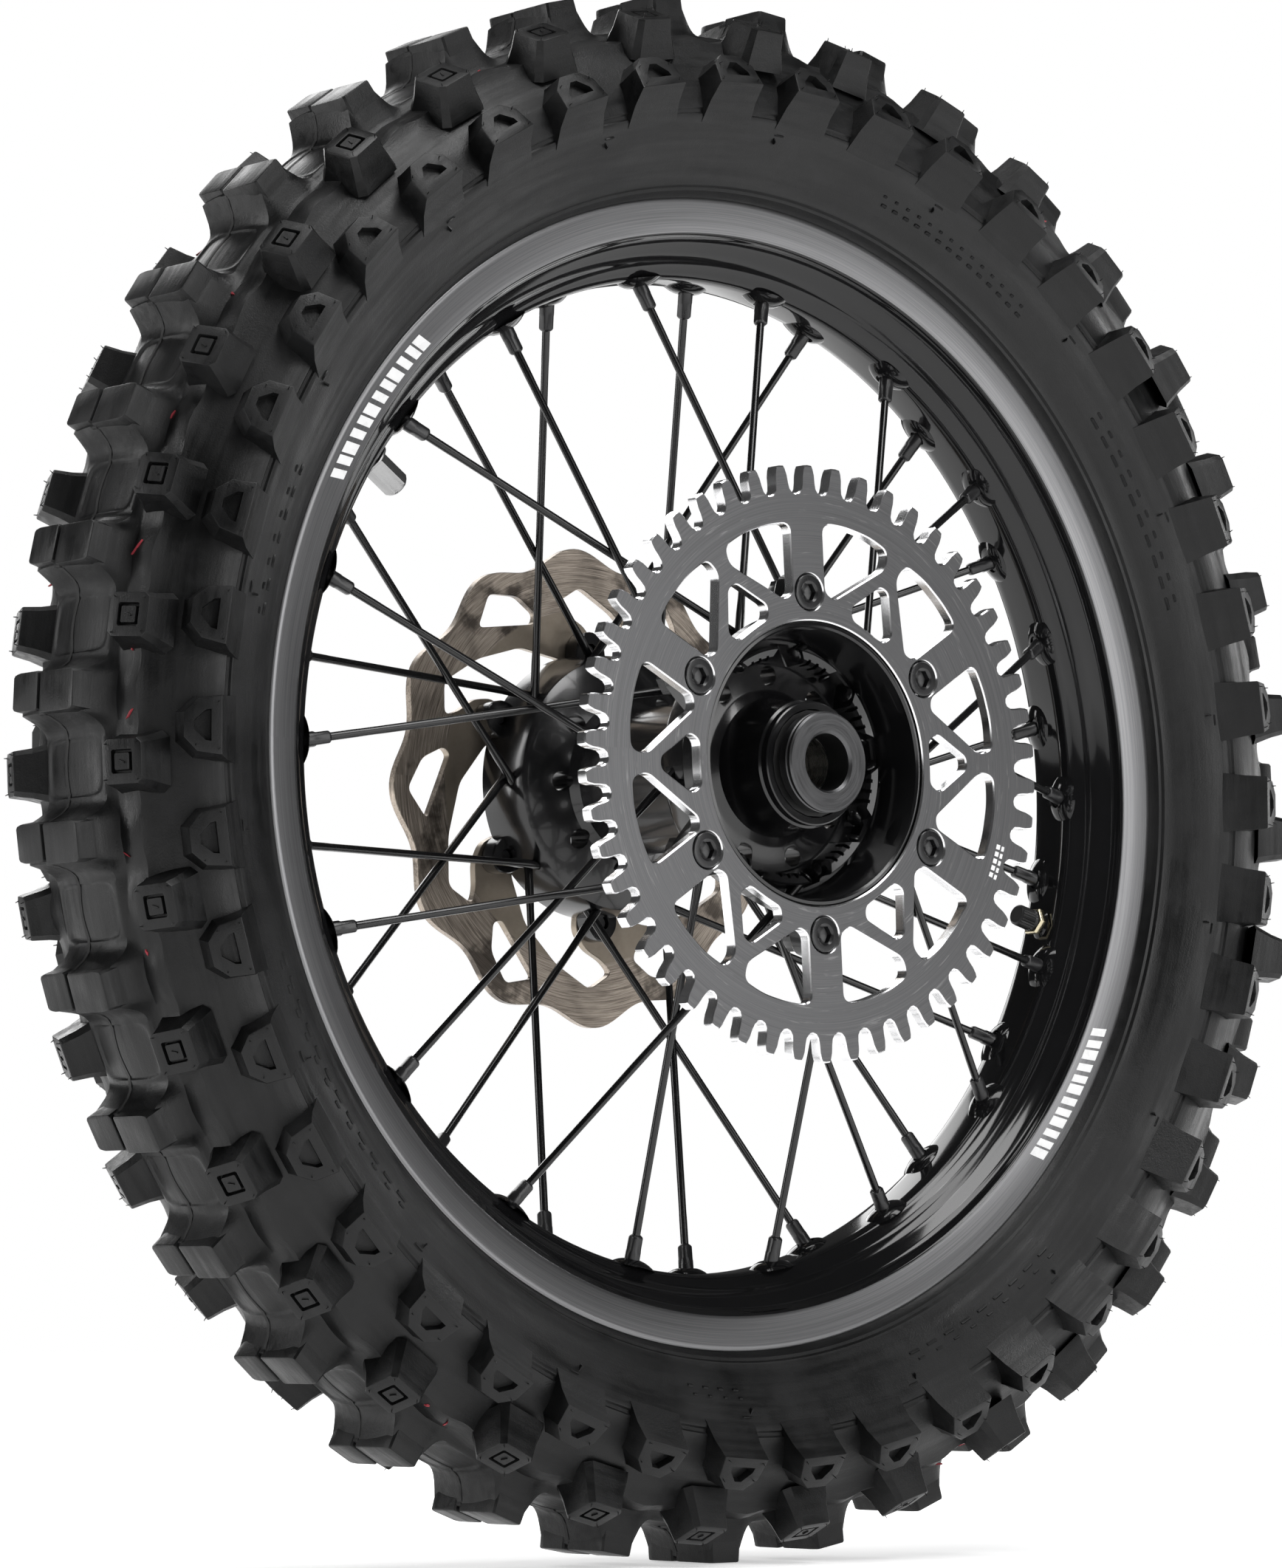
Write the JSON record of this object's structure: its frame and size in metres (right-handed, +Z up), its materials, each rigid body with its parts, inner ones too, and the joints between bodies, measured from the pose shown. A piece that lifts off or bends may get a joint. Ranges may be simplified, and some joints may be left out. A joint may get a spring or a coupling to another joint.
{
  "type": "spoked wheel",
  "caption": "Laced rear wheel of an off-road motorcycle with a knobby tyre, drive sprocket, brake disc and sealed bearings.",
  "frame": {"origin": "the wheel's centre: on the axle's axis, in the rim's middle plane", "axes": "+Y along the axle, from the sprocket to the brake disc, and the wheel spins about it; +Z up; +X towards the rear for a sprocket on the left"},
  "size_m": [0.6981, 0.1843, 0.6974],
  "materials": {
    "tyre_rubber": "matt, dusty in the grooves",
    "soft_rubber": "matt",
    "rim_black": "gloss black over aluminium, brushed dark on the flange",
    "hub_black": "satin black over aluminium",
    "spoke_black": "satin black",
    "sprocket_alloy": "milled, clear anodised",
    "disc_steel": "ground, with brown brake dust",
    "bolt_black": "black oxide",
    "spacer_alloy": "dark anodised",
    "bearing_steel": "ground",
    "bright_steel": "zinc plated",
    "valve_brass": "bright",
    "black_plastic": "moulded"
  },
  "bodies": {
    "axle_stack": {"axle_spacer_left": "spacer_alloy", "axle_spacer_right": "spacer_alloy", "bearing_inner_race_left": "bearing_steel", "bearing_inner_race_right": "bearing_steel", "distance_tube": "bearing_steel"},
    "wheel": {"tyre": "tyre_rubber", "inner_tube": "soft_rubber", "rim_band": "soft_rubber", "bearing_seal_left": "soft_rubber", "bearing_seal_right": "soft_rubber", "rim": "rim_black", "hub": "hub_black", "spoke_pair_left_1": "spoke_black", "spoke_pair_left_2": "spoke_black", "spoke_pair_left_3": "spoke_black", "spoke_pair_left_4": "spoke_black", "spoke_pair_left_5": "spoke_black", "spoke_pair_left_6": "spoke_black", "spoke_pair_left_7": "spoke_black", "spoke_pair_left_8": "spoke_black", "spoke_pair_left_9": "spoke_black", "spoke_pair_right_1": "spoke_black", "spoke_pair_right_2": "spoke_black", "spoke_pair_right_3": "spoke_black", "spoke_pair_right_4": "spoke_black", "spoke_pair_right_5": "spoke_black", "spoke_pair_right_6": "spoke_black", "spoke_pair_right_7": "spoke_black", "spoke_pair_right_8": "spoke_black", "spoke_pair_right_9": "spoke_black", "sprocket": "sprocket_alloy", "brake_disc": "disc_steel", "sprocket_bolt_1": "bolt_black", "sprocket_bolt_2": "bolt_black", "sprocket_bolt_3": "bolt_black", "sprocket_bolt_4": "bolt_black", "sprocket_bolt_5": "bolt_black", "sprocket_bolt_6": "bolt_black", "sprocket_nut_1": "bolt_black", "sprocket_nut_2": "bolt_black", "sprocket_nut_3": "bolt_black", "sprocket_nut_4": "bolt_black", "sprocket_nut_5": "bolt_black", "sprocket_nut_6": "bolt_black", "disc_bolt_1": "bolt_black", "disc_bolt_2": "bolt_black", "disc_bolt_3": "bolt_black", "disc_bolt_4": "bolt_black", "disc_bolt_5": "bolt_black", "disc_bolt_6": "bolt_black", "bearing_outer_race_left": "bearing_steel", "bearing_outer_race_right": "bearing_steel", "rim_lock_nut": "bright_steel", "rim_lock_washer": "bright_steel", "valve_stem": "valve_brass", "valve_cap": "black_plastic", "rim_lock": "black_plastic"},
    "cage_left": {"ball_cage_left": "bearing_steel"},
    "cage_right": {"ball_cage_right": "bearing_steel"}
  },
  "joints": [
    {"name": "wheel_spin", "type": "hinge", "parent": "axle_stack", "child": "wheel", "pos_m": [0, 0, 0], "axis": [0, 1, 0], "continuous": true},
    {"name": "cage_left_spin", "type": "hinge", "parent": "axle_stack", "child": "cage_left", "pos_m": [0, -0.072, 0], "axis": [0, 1, 0], "continuous": true},
    {"name": "cage_right_spin", "type": "hinge", "parent": "axle_stack", "child": "cage_right", "pos_m": [0, 0.07, 0], "axis": [0, 1, 0], "continuous": true}
  ],
  "couplings": [
    {"joint": "cage_left_spin", "follows": "wheel_spin", "ratio": 0.5986},
    {"joint": "cage_right_spin", "follows": "wheel_spin", "ratio": 0.5986}
  ]
}
